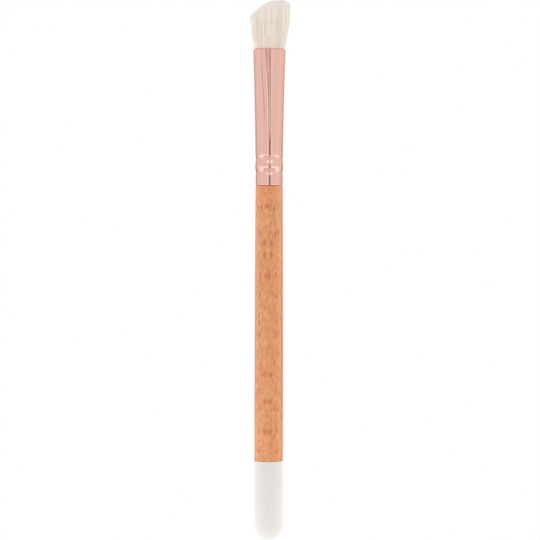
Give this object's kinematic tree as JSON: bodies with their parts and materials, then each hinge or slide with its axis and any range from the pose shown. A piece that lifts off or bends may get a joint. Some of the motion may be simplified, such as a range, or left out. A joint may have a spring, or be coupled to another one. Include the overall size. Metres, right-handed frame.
{
  "type": "angled contour brush",
  "caption": "Slim make-up brush: turned beech handle with a white dipped end, a crimped rose-gold ferrule that flattens to an oval mouth, and a soft hair tuft cut at a slant.",
  "frame": {"origin": "on the handle's axis, at the lowest point of the dipped end's dome", "axes": "+Z along the handle towards the hair, +X towards the tall side of the tuft, -Y is the front that the picture shows"},
  "size_m": [0.0121, 0.0088, 0.165],
  "materials": {
    "beech": "steamed beech under a thin satin clear lacquer, fine dark flecks along the grain",
    "white_lacquer": "dipped white lacquer, satin",
    "rose_gold": "seamless aluminium tube anodised rose gold, satin bright",
    "hair": "fine soft ivory hair, matt",
    "thread": "undyed cotton thread",
    "resin": "cured amber potting resin",
    "glue": "dried pale wood glue"
  },
  "bodies": {
    "root": {"handle": "beech", "dipped_end": "white_lacquer", "ferrule": "rose_gold", "hair_tuft": "hair", "root_binding": "thread", "resin_plug": "resin", "tenon_glue": "glue"}
  },
  "joints": []
}
